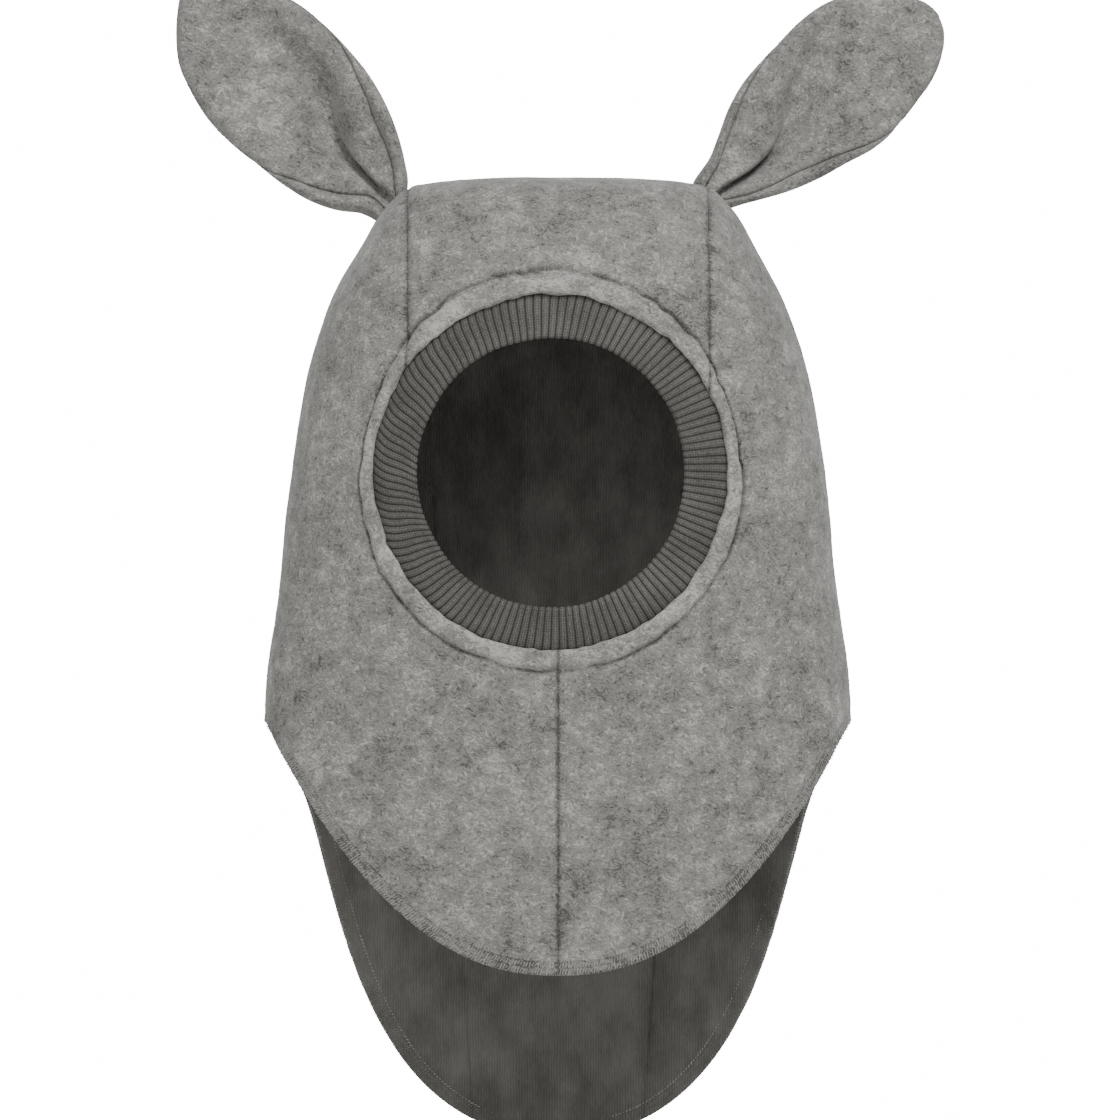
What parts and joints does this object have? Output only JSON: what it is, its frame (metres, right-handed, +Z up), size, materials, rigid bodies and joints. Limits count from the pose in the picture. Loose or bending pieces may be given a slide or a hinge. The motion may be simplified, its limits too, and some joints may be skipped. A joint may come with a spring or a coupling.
{
  "type": "balaclava",
  "caption": "Child's lined wool balaclava hood with a round ribbed face opening, a curved bib, a longer back flap and two soft pleated ears.",
  "frame": {"origin": "inside of the crown lining, where the top of the wearer's head touches it", "axes": "+Z up through the crown, the face opening looks along -Y, +X is the wearer's left"},
  "size_m": [0.3065, 0.1159, 0.4722],
  "materials": {
    "wool": "heather grey boiled wool, matte with a short raised nap",
    "velour_lining": "dark grey velour, soft short pile",
    "rib_knit": "darker grey one-by-one rib knit, matte",
    "sewing_thread": "light grey spun polyester thread, faint sheen"
  },
  "bodies": {
    "hood": {"outer_centre_panel": "wool", "outer_left_panel": "wool", "outer_right_panel": "wool", "lining_centre_panel": "velour_lining", "lining_left_panel": "velour_lining", "lining_right_panel": "velour_lining", "face_rib": "rib_knit", "outer_left_crown_seam_thread": "sewing_thread", "outer_right_crown_seam_thread": "sewing_thread", "outer_chin_seam_thread": "sewing_thread", "lining_left_crown_seam_thread": "sewing_thread", "lining_right_crown_seam_thread": "sewing_thread", "lining_chin_seam_thread": "sewing_thread", "rib_join_thread": "sewing_thread", "face_topstitch_needle_thread": "sewing_thread", "face_topstitch_bobbin_thread": "sewing_thread", "hem_upper_looper_thread": "sewing_thread", "hem_lower_looper_thread": "sewing_thread", "hem_needle_thread": "sewing_thread"},
    "left_ear": {"left_ear_front_ply": "wool", "left_ear_back_ply": "wool", "left_ear_edge_seam_thread": "sewing_thread", "left_ear_pleat_tack_thread": "sewing_thread"},
    "right_ear": {"right_ear_front_ply": "wool", "right_ear_back_ply": "wool", "right_ear_edge_seam_thread": "sewing_thread", "right_ear_pleat_tack_thread": "sewing_thread"}
  },
  "joints": [
    {"name": "left_ear_flop", "type": "hinge", "parent": "hood", "child": "left_ear", "pos_m": [0.06192, 0, 0.00241], "axis": [0, 1, 0], "range_deg": [-60, 45], "stiffness_Nm_per_rad": 0.12},
    {"name": "right_ear_flop", "type": "hinge", "parent": "hood", "child": "right_ear", "pos_m": [-0.06192, 0, 0.00241], "axis": [0, -1, 0], "range_deg": [-60, 45], "stiffness_Nm_per_rad": 0.12}
  ]
}
